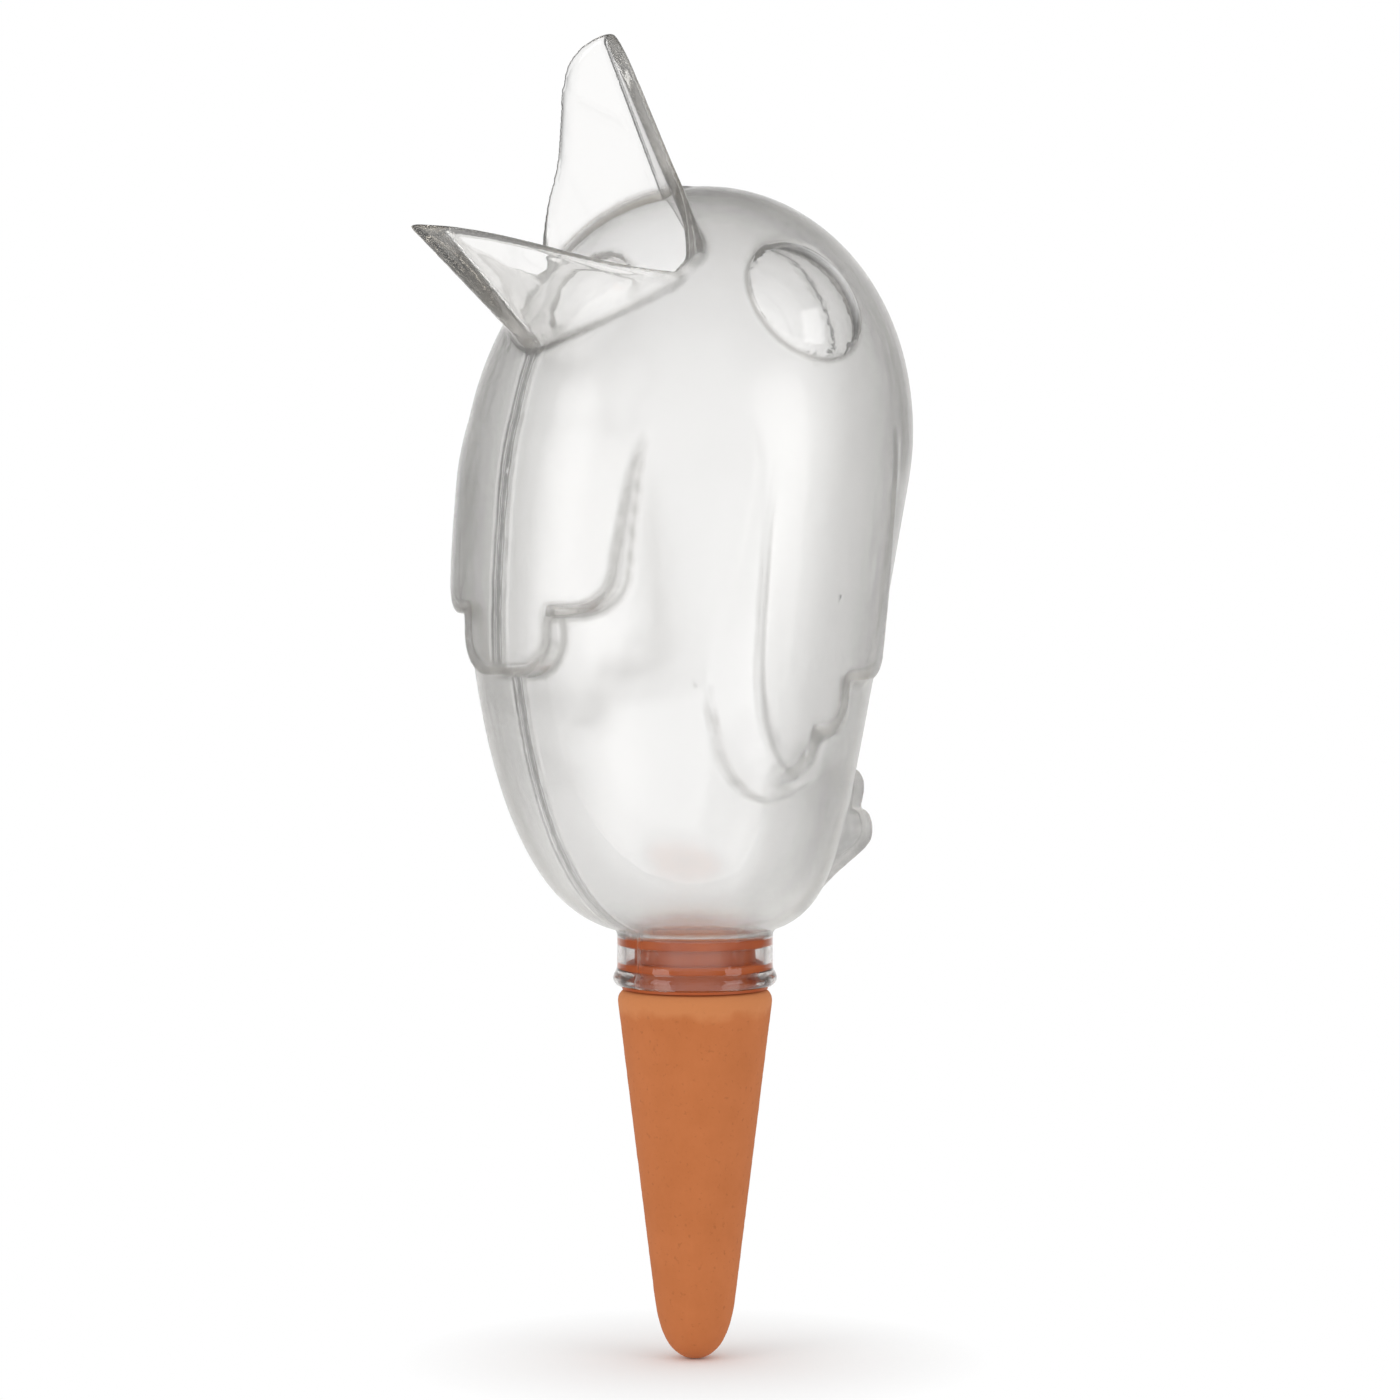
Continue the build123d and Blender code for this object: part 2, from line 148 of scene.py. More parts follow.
world = bpy.data.worlds.new("white_tent")
world.use_nodes = True
tent = world.node_tree
tent.nodes.clear()
direction = add_node(tent, "ShaderNodeTexCoord").outputs["Generated"]
sideways = add_node(
    tent, "ShaderNodeVectorMath", {"operation": "DOT_PRODUCT"}, _0=direction, _1=picture_right
)
side = add_node(tent, "ShaderNodeMath", {"operation": "ABSOLUTE"}, _0=sideways.outputs["Value"])
walls = add_node(
    tent, "ShaderNodeMapRange", SOFT_STEP, Value=side.outputs[0],
    From_Min=WALL_FROM, From_Max=WALL_TO, To_Min=1.0, To_Max=TENT_WALL,
)
away = add_node(
    tent, "ShaderNodeVectorMath", {"operation": "DOT_PRODUCT"}, _0=direction, _1=-towards_camera
)
back = add_node(
    tent, "ShaderNodeMapRange", SOFT_STEP, Value=away.outputs["Value"],
    From_Min=BACK_FROM, From_Max=BACK_TO, To_Min=TENT_FRONT, To_Max=1.0,
)
upward = add_node(tent, "ShaderNodeSeparateXYZ", Vector=direction)
roof = add_node(
    tent, "ShaderNodeMapRange", SOFT_STEP, Value=upward.outputs["Z"],
    From_Min=ROOF_FROM, From_Max=ROOF_TO, To_Min=1.0, To_Max=TENT_ROOF,
)
sheets = add_node(
    tent, "ShaderNodeMath", {"operation": "MULTIPLY"}, _0=walls.outputs[0], _1=roof.outputs[0]
)
tent_light = add_node(
    tent, "ShaderNodeMath", {"operation": "MULTIPLY"}, _0=sheets.outputs[0], _1=back.outputs[0]
)
rays = add_node(tent, "ShaderNodeLightPath")
shiny = add_node(
    tent, "ShaderNodeMath", {"operation": "MAXIMUM"},
    _0=rays.outputs["Is Glossy Ray"], _1=rays.outputs["Is Transmission Ray"],
)
seen_shiny = add_node(
    tent, "ShaderNodeMix", {"data_type": "FLOAT"},
    _0=shiny.outputs[0], _2=EVEN_LIGHT, _3=tent_light.outputs[0],
)
seen = add_node(
    tent, "ShaderNodeMix", {"data_type": "FLOAT"},
    _0=rays.outputs["Is Camera Ray"], _2=seen_shiny.outputs[0], _3=1.0,
)
sky = add_node(
    tent, "ShaderNodeBackground", Color=linear("#FFFFFF"), Strength=seen.outputs[0]
)
add_node(tent, "ShaderNodeOutputWorld", Surface=sky.outputs[0])
bpy.context.scene.world = world
print("world:", world.name)

# %% [markdown]
# The floor is a sheet of paper at the level of the cone's tip, so wide that its edge is
# never seen.

# %% Floor
FLOOR_RADIUS = 3.0
tip_level = cad_box[0][2]
bpy.ops.mesh.primitive_circle_add(
    vertices=96, radius=FLOOR_RADIUS, fill_type="NGON", location=(0, 0, tip_level)
)
floor = bpy.context.active_object
floor.name = "floor"
bpy.ops.object.transform_apply(location=True, rotation=True, scale=True)
print("floor at", round(tip_level / MM, 1), "mm")

# %% [markdown]
# White paper is matt. Near the object it takes the shadow, and further out it fades
# into the plain white of the background, for the camera and for rays that the plastic
# mirrors or lets through, so no horizon shows. To those rays the tent's dark side walls
# go on over the floor, but only further off: close to the cone the paper stays white
# and lights the belly from below.

# %% Matt white paper
FLOOR_WALL = 0.12
FLOOR_WALL_FROM, FLOOR_WALL_TO = 0.45, 0.95
SHADOW_FULL, SHADOW_GONE = 4 * MM, 55 * MM
WHITE_UP_TO, DARK_FROM = 120 * MM, 400 * MM
sheet, tree, output = new_material("matt_white_paper")
place = add_node(tree, "ShaderNodeTexCoord").outputs["Object"]
flat = add_node(tree, "ShaderNodeVectorMath", {"operation": "MULTIPLY"}, _0=place, _1=(1, 1, 0))
reach = add_node(tree, "ShaderNodeVectorMath", {"operation": "LENGTH"}, _0=flat.outputs[0])
fade = add_node(
    tree, "ShaderNodeMapRange",
    Value=reach.outputs["Value"], From_Min=SHADOW_FULL, From_Max=SHADOW_GONE,
)
rays = add_node(tree, "ShaderNodeLightPath")
shiny = add_node(
    tree, "ShaderNodeMath", {"operation": "MAXIMUM"},
    _0=rays.outputs["Is Glossy Ray"], _1=rays.outputs["Is Transmission Ray"],
)
far_off = add_node(
    tree, "ShaderNodeMath", {"operation": "MULTIPLY"},
    _0=fade.outputs[0], _1=rays.outputs["Is Camera Ray"],
)
far_white = add_node(
    tree, "ShaderNodeMath", {"operation": "MAXIMUM"}, _0=far_off.outputs[0], _1=shiny.outputs[0]
)
outward = add_node(tree, "ShaderNodeVectorMath", {"operation": "NORMALIZE"}, _0=flat.outputs[0])
sideways = add_node(
    tree, "ShaderNodeVectorMath", {"operation": "DOT_PRODUCT"},
    _0=outward.outputs[0], _1=picture_right,
)
side = add_node(tree, "ShaderNodeMath", {"operation": "ABSOLUTE"}, _0=sideways.outputs["Value"])
walls = add_node(
    tree, "ShaderNodeMapRange", SOFT_STEP, Value=side.outputs[0],
    From_Min=FLOOR_WALL_FROM, From_Max=FLOOR_WALL_TO, To_Min=1.0, To_Max=FLOOR_WALL,
)
near = add_node(
    tree, "ShaderNodeMapRange", Value=reach.outputs["Value"],
    From_Min=WHITE_UP_TO, From_Max=DARK_FROM, To_Min=1.0, To_Max=0.0,
)
lit = add_node(
    tree, "ShaderNodeMath", {"operation": "MAXIMUM"}, _0=walls.outputs[0], _1=near.outputs[0]
)
glow = add_node(
    tree, "ShaderNodeMath", {"operation": "MAXIMUM"},
    _0=lit.outputs[0], _1=rays.outputs["Is Camera Ray"],
)
paper = add_node(tree, "ShaderNodeBsdfDiffuse", Color=linear("#FFFFFF"))
white = add_node(
    tree, "ShaderNodeEmission", Color=linear("#FFFFFF"), Strength=glow.outputs[0]
)
mixed = add_node(
    tree, "ShaderNodeMixShader",
    _0=far_white.outputs[0], _1=paper.outputs[0], _2=white.outputs[0],
)
tree.links.new(mixed.outputs[0], output.inputs["Surface"])
floor.data.materials.append(sheet)
print("paper on", floor.name)

# %% [markdown]
# Two large soft lamps shape the object. The key lamp stands to the camera's left,
# which gives the broad shine on the chest and the bright left side of the clay. A
# weaker lamp fills the right side: it is further away, so it may have more watts.

# %% Lamps
LAMP_AIM = Vector((0, 0, 60 * MM))


def add_softbox(name, turn, distance, height, width, tall, watts):
    """A rectangular lamp, turned from the camera's direction (left is negative)."""
    around = math.radians(turn)
    out = towards_camera * math.cos(around) + picture_right * math.sin(around)
    place = out * distance + Vector((0, 0, height))
    bpy.ops.object.select_all(action="DESELECT")
    bpy.ops.object.light_add(type="AREA", location=place)
    lamp = bpy.context.active_object
    lamp.name = name
    lamp.rotation_euler = (LAMP_AIM - place).to_track_quat("-Z", "Y").to_euler()
    lamp.data.shape = "RECTANGLE"
    lamp.data.size = width
    lamp.data.size_y = tall
    lamp.data.energy = watts
    print("lamp", name, watts, "W")


add_softbox("key_softbox", turn=-52, distance=1.0, height=0.32, width=0.5, tall=0.8, watts=2.6)
add_softbox("fill_softbox", turn=58, distance=1.2, height=0.25, width=0.6, tall=0.9, watts=3.0)

# %% [markdown]
# Every piece starts as a copy of its CAD node, so that its size is right from the
# start. A CAD node's mesh is loose triangles, and a copy has to be merged into one
# skin before any tool can follow the surface from face to face.

# %% Copy a CAD node
SAME_POINT = 0.001 * MM


def make_active(piece):
    """Selects one object alone, as a click on it does."""
    bpy.ops.object.select_all(action="DESELECT")
    piece.select_set(True)
    bpy.context.view_layer.objects.active = piece


def merged_copy(node_name, piece_name):
    """A copy of a CAD node as a new piece, with its loose triangles merged."""
    piece = bpy.data.objects.new(piece_name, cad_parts[node_name].data.copy())
    bpy.context.scene.collection.objects.link(piece)
    piece.data.materials.clear()
    make_active(piece)
    if piece.data.has_custom_normals:
        bpy.ops.mesh.customdata_custom_splitnormals_clear()
    bpy.ops.object.mode_set(mode="EDIT")
    bpy.ops.mesh.select_all(action="SELECT")
    bpy.ops.mesh.remove_doubles(threshold=SAME_POINT)
    bpy.ops.object.mode_set(mode="OBJECT")
    return piece


print("points closer than", SAME_POINT / MM, "mm are merged")

# %% [markdown]
# The bird is moulded in two clear halves that are welded on the middle plane. If each
# half were softened by itself, its welded edge would be rounded too and a groove would
# show. So a copy of the left half loses its flat welded face and is mirrored into a
# whole bird, which is cut in two again once its shape is finished.

# %% The whole bird
ON_SEAM = 0.002 * MM
bird = merged_copy("left_half", "whole_bird")
bpy.ops.object.mode_set(mode="EDIT")
bpy.ops.mesh.select_mode(type="FACE")
bpy.ops.mesh.select_all(action="DESELECT")
bpy.ops.object.mode_set(mode="OBJECT")
for face in bird.data.polygons:
    face.select = all(abs(bird.data.vertices[i].co.x) < ON_SEAM for i in face.vertices)
bpy.ops.object.mode_set(mode="EDIT")
bpy.ops.mesh.delete(type="FACE")
bpy.ops.object.mode_set(mode="OBJECT")
mirror = bird.modifiers.new("other_half", "MIRROR")
mirror.merge_threshold = ON_SEAM
bpy.ops.object.modifier_apply(modifier=mirror.name)
print(bird.name, len(bird.data.polygons), "faces")

# %% [markdown]
# The CAD form has crisp creases, but a moulding has soft ones. A Bevel would tear on
# thousands of small triangles, so the bird is rebuilt from small voxels and smoothed,
# which rounds every crease and rim by about half a millimetre. Voxels leave stair
# steps on slanting edges, and clear plastic shows them all. They go in two moves: very
# fine voxels are smoothed many times, and a second, coarser set takes up the smooth
# form. The bird is tilted meanwhile, so that no long edge runs along the voxels' grid.

# %% Soft moulded edges
FINE_VOXEL, FINE_ROUNDS = 0.25 * MM, 24
BIRD_VOXEL, BIRD_ROUNDS = 0.4 * MM, 3
VOXEL_TILT = math.radians(32)


def soften(piece, voxel, rounds):
    """Rebuilds the active piece from voxels and smooths it."""
    remesh = piece.modifiers.new("voxels", "REMESH")
    remesh.mode = "VOXEL"
    remesh.voxel_size = voxel
    remesh.use_smooth_shade = True
    bpy.ops.object.modifier_apply(modifier=remesh.name)
    smooth = piece.modifiers.new("soft_edges", "SMOOTH")
    smooth.factor = 0.5
    smooth.iterations = rounds
    bpy.ops.object.modifier_apply(modifier=smooth.name)
    bpy.ops.object.shade_smooth()


askew = Matrix.Rotation(VOXEL_TILT, 4, "X")
bird.data.transform(askew)
soften(bird, FINE_VOXEL, FINE_ROUNDS)
soften(bird, BIRD_VOXEL, BIRD_ROUNDS)
bird.data.transform(askew.inverted())
print(bird.name, len(bird.data.polygons), "faces")

# %% [markdown]
# From here on the bird is sculpted: a brush works on some places and leaves others
# alone. With no window there is no brush, so these helpers read all points of a piece
# at once, measure how sharply its skin bends, widen a choice of points ring by ring,
# and move points towards the middle of their neighbours as the Smooth brush does.

# %% Helpers that sculpt
KEEP_FORM = (0.5, -0.52)
ROUND_OFF = (0.5,)
SHORTEST_SPAN = 0.05


def points_of(piece):
    """The vertices of a piece in mm, one row each."""
    points = np.zeros(len(piece.data.vertices) * 3, np.float32)
    piece.data.vertices.foreach_get("co", points)
    return points.reshape(-1, 3) / MM


def set_points(piece, points):
    """Moves the vertices of a piece to places in mm."""
    piece.data.vertices.foreach_set("co", (points * MM).astype(np.float32).ravel())
    piece.data.update()


def normals_of(piece):
    """The direction in which the skin faces at each vertex of a piece."""
    normals = np.zeros(len(piece.data.vertices) * 3, np.float32)
    piece.data.vertex_normals.foreach_get("vector", normals)
    return normals.reshape(-1, 3)


def edge_ends(piece):
    """The two vertices of each edge of a piece."""
    ends = np.zeros(len(piece.data.edges) * 2, np.int32)
    piece.data.edges.foreach_get("vertices", ends)
    return ends.reshape(-1, 2)


def sharpness_of(piece):
    """How sharply the skin bends at each vertex of a piece, in radians for each mm."""
    normals = normals_of(piece)
    points = points_of(piece)
    first, second = edge_ends(piece).T
    span = np.linalg.norm(points[first] - points[second], axis=1)
    bend = np.linalg.norm(normals[first] - normals[second], axis=1)
    bend = bend / np.maximum(span, SHORTEST_SPAN)
    sharpness = np.zeros(len(points))
    np.maximum.at(sharpness, first, bend)
    np.maximum.at(sharpness, second, bend)
    return sharpness


def grown(piece, chosen, rings):
    """The chosen vertices of a piece and their neighbours, ring by ring."""
    first, second = edge_ends(piece).T
    for _ in range(rings):
        near = first[chosen[second]], second[chosen[first]]
        chosen = chosen.copy()
        for ring in near:
            chosen[ring] = True
    return chosen


def smooth_group(piece, weights, rounds, factors=KEEP_FORM):
    """Moves vertices to the middle of their neighbours, by weight, once for each factor."""
    weights = np.asarray(weights, float)
    ends = edge_ends(piece)
    ends = ends[(weights[ends] > 0).any(axis=1)]
    used, ends = np.unique(ends, return_inverse=True)
    first, second = ends.reshape(-1, 2).T
    size = len(used)
    count = np.bincount(ends.ravel(), minlength=size)
    points = points_of(piece).astype(float)
    moving = points[used]
    strength = weights[used][:, None]
    for factor in factors * rounds:
        middle = [
            (np.bincount(first, axis[second], size) + np.bincount(second, axis[first], size)) / count
            for axis in moving.T
        ]
        moving = moving + factor * strength * (np.stack(middle, axis=1) - moving)
    points[used] = moving
    set_points(piece, points)


print("points to sculpt:", len(bird.data.vertices))

# %% [markdown]
# The open beak is the clearest part of the bird, and its rim is drawn as a thin dark
# line, so a wavy rim would spoil it. A few plain rounds of smoothing make the rim
# round. Then many rounds with opposite factors, one in and one out, iron out the waves
# and keep the rim from shrinking.

# %% Iron the rim of the beak
BEAK_FOOT = 108
BEAK_BACK = -12
RIM_BEND = 0.5
RIM_RINGS = 4
RIM_ROUND_OFF = 6
RIM_IRONING = 250


def on_body(points):
    """True for the points of the satin body, false for those of the polished beak."""
    return (points[:, 2] < BEAK_FOOT) | (points[:, 1] > BEAK_BACK)


in_satin = on_body(points_of(bird))
rim = grown(bird, (sharpness_of(bird) > RIM_BEND) & ~in_satin, RIM_RINGS) & ~in_satin
smooth_group(bird, rim, RIM_ROUND_OFF, ROUND_OFF)
smooth_group(bird, rim, RIM_IRONING)
print("rim points:", int(rim.sum()))

# %% [markdown]
# Each wing is a long leaf with a fine crest line and a rounded foot that stands on
# the belly with a soft step. Both lines are drawn in side view as smooth curves
# through a few points, as with a spline, and every point of the wing is told how far
# it lies beside the line and how far along it.

# %% Helpers that draw lines on the wing
CREST_LINE = [
    (-13.8, 101.9), (-16.0, 88.0), (-16.9, 76.0), (-17.2, 66.0), (-16.6, 57.6),
    (-14.6, 49.8), (-11.2, 44.3), (-7.0, 41.0), (-4.0, 40.6),
]
FOOT_LINE = [
    (-25.2, 63.3), (-24.1, 56.6), (-22.6, 49.8), (-19.8, 43.2), (-15.9, 38.8),
    (-11.5, 36.7), (-6.9, 37.0), (-2.5, 38.9), (2.4, 41.1),
]


def eased(values):
    """Values from 0 to 1 with a soft start and end."""
    values = np.clip(values, 0, 1)
    return values * values * (3 - 2 * values)


def smooth_line(corners, steps=8):
    """A smooth line through corner points, as short straight runs."""
    corners = np.array(corners)
    ends = np.vstack([2 * corners[0] - corners[1], corners, 2 * corners[-1] - corners[-2]])
    share = np.linspace(0, 1, steps, endpoint=False)[:, None]
    runs = []
    for a, b, c, d in zip(ends, ends[1:], ends[2:], ends[3:]):
        bend = a - 2.5 * b + 2 * c - d / 2 + share * (1.5 * (b - c) + (d - a) / 2)
        runs.append(b + share * ((c - a) / 2 + share * bend))
    return np.vstack(runs + [corners[-1:]])


def side_of_line(places, line):
    """How far places lie to the left of a line, in mm, and how far along it, 0 to 1."""
    runs = np.diff(line, axis=0)
    nearest = np.full(len(places), np.inf)
    aside = np.zeros(len(places))
    along = np.zeros(len(places))
    for index, (start, run) in enumerate(zip(line, runs)):
        spoke = places - start
        share = np.clip(spoke @ run / (run @ run), 0, 1)
        gap = np.linalg.norm(spoke - share[:, None] * run, axis=1)
        left = run[0] * spoke[:, 1] - run[1] * spoke[:, 0]
        closer = gap < nearest
        nearest = np.where(closer, gap, nearest)
        aside = np.where(closer, np.sign(left) * gap, aside)
        along = np.where(closer, (index + share) / len(runs), along)
    return aside, along


print("crest line:", len(smooth_line(CREST_LINE)), "points")

# %% [markdown]
# First a soft brush rounds the wing's tip and the feathers behind it: the weights fade
# at the border of each brush. Then a crease is pressed along each line: the skin behind
# the line is pushed out by a quarter of a millimetre, which fades away to the rear and
# at both ends of the line. The skin is pushed straight out from the oval of the body.

# %% Sculpt the wings
# Each brush: middle (y, z), half width, half height, rounds
BRUSHES = ((-4, 41, 10, 7, 110), (12, 50, 13, 10, 20))
BRUSH_REACH, BRUSH_FADE = 1.3, 0.6
# Each crease: line, height of its step, width of its step
CREASES = ((CREST_LINE, 0.25, 0.7), (FOOT_LINE, 0.3, 0.8))
STEP_FADE = 6.0
LINE_START, LINE_END = 0.25, 0.15
FINE_STRIP = 1.6
FROM_MIDDLE = 14
WING_MIDDLE, WING_HALF_WIDTH = -12, 24
WING_LOWEST, WING_HIGHEST = 30, 108
EGG_HALF_WIDTH = 38.5
EGG_HALF_DEPTH = 43.8


def on_wing_side(points, lowest):
    """True for the points on the sides of the body where the wings are."""
    beside = np.abs(points[:, 1] - WING_MIDDLE) < WING_HALF_WIDTH
    level = (points[:, 2] > lowest) & (points[:, 2] < WING_HIGHEST)
    return (np.abs(points[:, 0]) > FROM_MIDDLE) & beside & level


points = points_of(bird)
for y, z, half_width, half_height, rounds in BRUSHES:
    far = np.hypot((points[:, 1] - y) / half_width, (points[:, 2] - z) / half_height)
    brush = eased((BRUSH_REACH - far) / BRUSH_FADE) * (np.abs(points[:, 0]) > FROM_MIDDLE)
    smooth_group(bird, brush, rounds, ROUND_OFF)
points = points_of(bird)
on_wing = on_wing_side(points, WING_LOWEST)
push = np.zeros(int(on_wing.sum()))
fine = np.zeros(len(points), bool)
for corners, step, ramp in CREASES:
    aside, along = side_of_line(points[on_wing][:, 1:], smooth_line(corners))
    ends = eased(along / LINE_START) * eased((1 - along) / LINE_END)
    fine[on_wing] |= (np.abs(aside - ramp / 2) < FINE_STRIP) & (ends > 0)
    push += step * eased(aside / ramp) * (1 - eased((aside - ramp) / STEP_FADE)) * ends
outward = points[on_wing] * [1, (EGG_HALF_WIDTH / EGG_HALF_DEPTH) ** 2, 0]
points[on_wing] += outward / np.linalg.norm(outward, axis=1)[:, None] * push[:, None]
set_points(bird, points)
print("pushed points:", int((push > 0.01).sum()))

# %% [markdown]
# Such small voxels give far more faces than are needed. The satin body is thinned and
# its smooth skin is evened out, while the polished beak and the strips along the wing's
# lines keep every face, because they show the smallest dent. Where thinned and fine
# skin meet, a few slivers fold over and would show as dark marks, so they are found
# and smoothed flat.

# %% Fewer faces
BIRD_TRIANGLES = 370000
EVEN_BEND = 0.15
EVEN_ROUNDS = 8
FOLD_LIMIT = 0.5
FOLD_PASSES = 4


def folded_points(piece):
    """The vertices of faces that lie folded over on the skin around them."""
    mesh = piece.data
    mesh.calc_loop_triangles()
    corners = np.zeros(len(mesh.loop_triangles) * 3, np.int32)
    mesh.loop_triangles.foreach_get("vertices", corners)
    corners = corners.reshape(-1, 3)
    points = points_of(piece)
    start, second, third = (points[column] for column in corners.T)
    facing = np.cross(second - start, third - start)
    facing /= np.maximum(np.linalg.norm(facing, axis=1), 1e-9)[:, None]
    around = normals_of(piece)[corners].mean(axis=1)
    folded = np.zeros(len(points), bool)
    folded[corners[(facing * around).sum(axis=1) < FOLD_LIMIT]] = True
    return folded


thinned = np.nonzero(on_body(points_of(bird)) & ~fine)[0]
satin_places = bird.vertex_groups.new(name="satin_places")
satin_places.add([int(i) for i in thinned], 1.0, "REPLACE")
fewer = bird.modifiers.new("fewer", "DECIMATE")
fewer.ratio = BIRD_TRIANGLES / (2 * len(bird.data.polygons))
fewer.vertex_group = satin_places.name
bpy.ops.object.modifier_apply(modifier=fewer.name)
bent = grown(bird, sharpness_of(bird) > EVEN_BEND, 1)
smooth_group(bird, on_body(points_of(bird)) & ~bent, EVEN_ROUNDS)
for _ in range(FOLD_PASSES):
    folded = folded_points(bird)
    print("folded points:", int(folded.sum()))
    smooth_group(bird, grown(bird, folded, 2), EVEN_ROUNDS, ROUND_OFF)
print(bird.name, len(bird.data.polygons), "faces")

# %% [markdown]
# Each eye is a round dome with a clear outline. Where the ball of the eye runs out
# into the head its edge is too faint to see, so the dome is raised by half a
# millimetre inside its outline, outer and inner skin alike. The outline is a circle
# seen from the middle of the ball, so it is given as an angle from the eye's axis.

# %% Raise the eyes
EYE_CENTRE = np.array((19.6, -1.6, 120.5))
EYE_AXIS = np.array((0.86, 0.0, 0.51))
EYE_HALF_ANGLE = 45.5
EYE_EDGE_ANGLE = 2.5
EYE_STEP = 0.55
EYE_INNERMOST = 12


def seen_from_eye(points):
    """Points from the middle of the eye on their side: spokes, lengths, angles from its axis."""
    flip = np.where(points[:, :1] < 0, [-1, 1, 1], [1, 1, 1])
    spoke = points * flip - EYE_CENTRE
    reach = np.maximum(np.linalg.norm(spoke, axis=1), 0.001)
    turn = np.degrees(np.arccos(np.clip(spoke @ EYE_AXIS / reach, -1, 1)))
    return spoke * flip, reach, turn


points = points_of(bird)
spoke, reach, turn = seen_from_eye(points)
inside_outline = eased((EYE_HALF_ANGLE - turn) / EYE_EDGE_ANGLE) * (reach > EYE_INNERMOST)
points += spoke * (EYE_STEP * inside_outline / reach)[:, None]
set_points(bird, points)
print("raised points:", int((inside_outline > 0).sum()))

# %% [markdown]
# The weld runs round the bird's middle. Cutting the whole bird at the middle plane
# and closing each cut gives the two mouldings, with a gap as fine as a hair
# between them that catches the light as the real weld does.

# %% Cut it into the two halves
SEAM_GAP = 0.03 * MM
SHARP_EDGE = math.radians(50)
halves = {}
for node_name, side in (("left_half", 1), ("right_half", -1)):
    half = bpy.data.objects.new(node_name.replace("half", "shell"), bird.data.copy())
    bpy.context.scene.collection.objects.link(half)
    make_active(half)
    bpy.ops.object.mode_set(mode="EDIT")
    bpy.ops.mesh.select_all(action="SELECT")
    bpy.ops.mesh.bisect(
        plane_co=(side * SEAM_GAP, 0, 0), plane_no=(side, 0, 0), use_fill=True, clear_inner=True
    )
    bpy.ops.object.mode_set(mode="OBJECT")
    bpy.ops.object.shade_smooth_by_angle(angle=SHARP_EDGE)
    halves[node_name] = half
    print(half.name, len(half.data.polygons), "faces")
bpy.data.objects.remove(bird)

# %% [markdown]
# The mould was blasted to a satin over the body, and polished in the beak, the
# eyes and the neck. Where each finish lies is worked out from how far a point
# stands outside the egg of the body, and kept on the mesh as an attribute that the
# material reads. All numbers are in millimetres, and the egg is the CAD model's own.

# %% Mark the polished places
EGG_FOOT = 10.1
EGG_WIDEST = 98.6
EGG_ROUND_ABOVE = EGG_WIDEST + 5
EGG_CROWN = 148.7
EGG_LEAN_BACK = 2.8
EGG_LEAN_FRONT = 5.8
EGG_FALL = 1.2
EGG_BELLY = 0.25
BEAK_PROUD, BEAK_EDGE = 0.4, 1.2
EYE_POLISH_EDGE = 2
EYE_SKIN = -6
EYE_FROM_MIDDLE = 15
NECK_ABOVE, NECK_EDGE = 0.6, 1.2


def outside_egg(points):
    """How far points stand outside the body's egg, in mm, roughly."""
    level = np.clip(points[:, 2], EGG_FOOT, EGG_CROWN)
    share = (level - EGG_FOOT) / (EGG_CROWN - EGG_FOOT)
    lean = EGG_LEAN_BACK * share - EGG_LEAN_FRONT * 27 / 4 * share * (1 - share) ** 2
    fall = np.clip((EGG_WIDEST - level) / (EGG_WIDEST - EGG_FOOT), 0, 1)
    belly = (1 - fall**EGG_FALL) ** EGG_BELLY
    rise = np.clip((level - EGG_WIDEST) / (EGG_CROWN - EGG_WIDEST), 0, 1)
    crown = np.sqrt(1 - rise**2)
    size = np.hypot(points[:, 0] / EGG_HALF_WIDTH, (points[:, 1] - lean) / EGG_HALF_DEPTH)
    around = (size - np.where(level > EGG_WIDEST, crown, belly)) * EGG_HALF_DEPTH
    whole = np.sqrt(size**2 + rise**2) - 1
    return np.where(level > EGG_ROUND_ABOVE, whole * EGG_HALF_DEPTH, around)


def keep_on_mesh(piece, name, values):
    """Keeps one value for each vertex of a piece as an attribute."""
    attribute = piece.data.attributes.new(name, "FLOAT", "POINT")
    attribute.data.foreach_set("value", values.astype(np.float32))


for half in halves.values():
    points = points_of(half)
    proud = outside_egg(points)
    turn = seen_from_eye(points)[2]
    beak = np.clip((proud - BEAK_PROUD) / BEAK_EDGE, 0, 1) * ~on_body(points)
    eye = np.clip((EYE_HALF_ANGLE - turn) / EYE_POLISH_EDGE, 0, 1)
    eye = eye * (proud > EYE_SKIN) * (np.abs(points[:, 0]) > EYE_FROM_MIDDLE)
    neck = np.clip((EGG_FOOT + NECK_ABOVE - points[:, 2]) / NECK_EDGE, 0, 1)
    polished = np.maximum.reduce([beak, eye, neck])
    keep_on_mesh(half, "polish", polished)
    print(half.name, "polished share", round(float(polished.mean()), 3))

# %% [markdown]
# The creases of the plumage read as fine dark lines, since light that meets a crease
# is turned away from the eye. Here that shade is painted: how sharply the skin bends
# is measured along every edge of the mesh, averaged with its neighbours and kept as a
# second attribute, which greys the satin along the creases as painted shade. The crest
# line of the wing is so low that a measured line would be dotted, so there a painted
# shade line along the line that was sculpted is used instead.

# %% Mark the creases
CREASE_FROM, CREASE_SPAN = 0.18, 0.45
WELD_HALF_WIDTH = 1.0
CREST_LOWEST = 42
CREST_SHADE = 0.7
CREST_MIDDLE = 0.35
CREST_REACH, CREST_FADE = 0.7, 0.5
CREST_START, CREST_END = 0.3, 0.85
CREST_BESIDE = 4.5


def evened(piece, values, rounds):
    """Values on the vertices of a piece, each averaged with its neighbours."""
    ends = edge_ends(piece)
    first, second = ends.T
    size = len(values)
    count = np.bincount(ends.ravel(), minlength=size) + 1
    for _ in range(rounds):
        around = np.bincount(first, values[second], size) + np.bincount(second, values[first], size)
        values = (values + around) / count
    return values


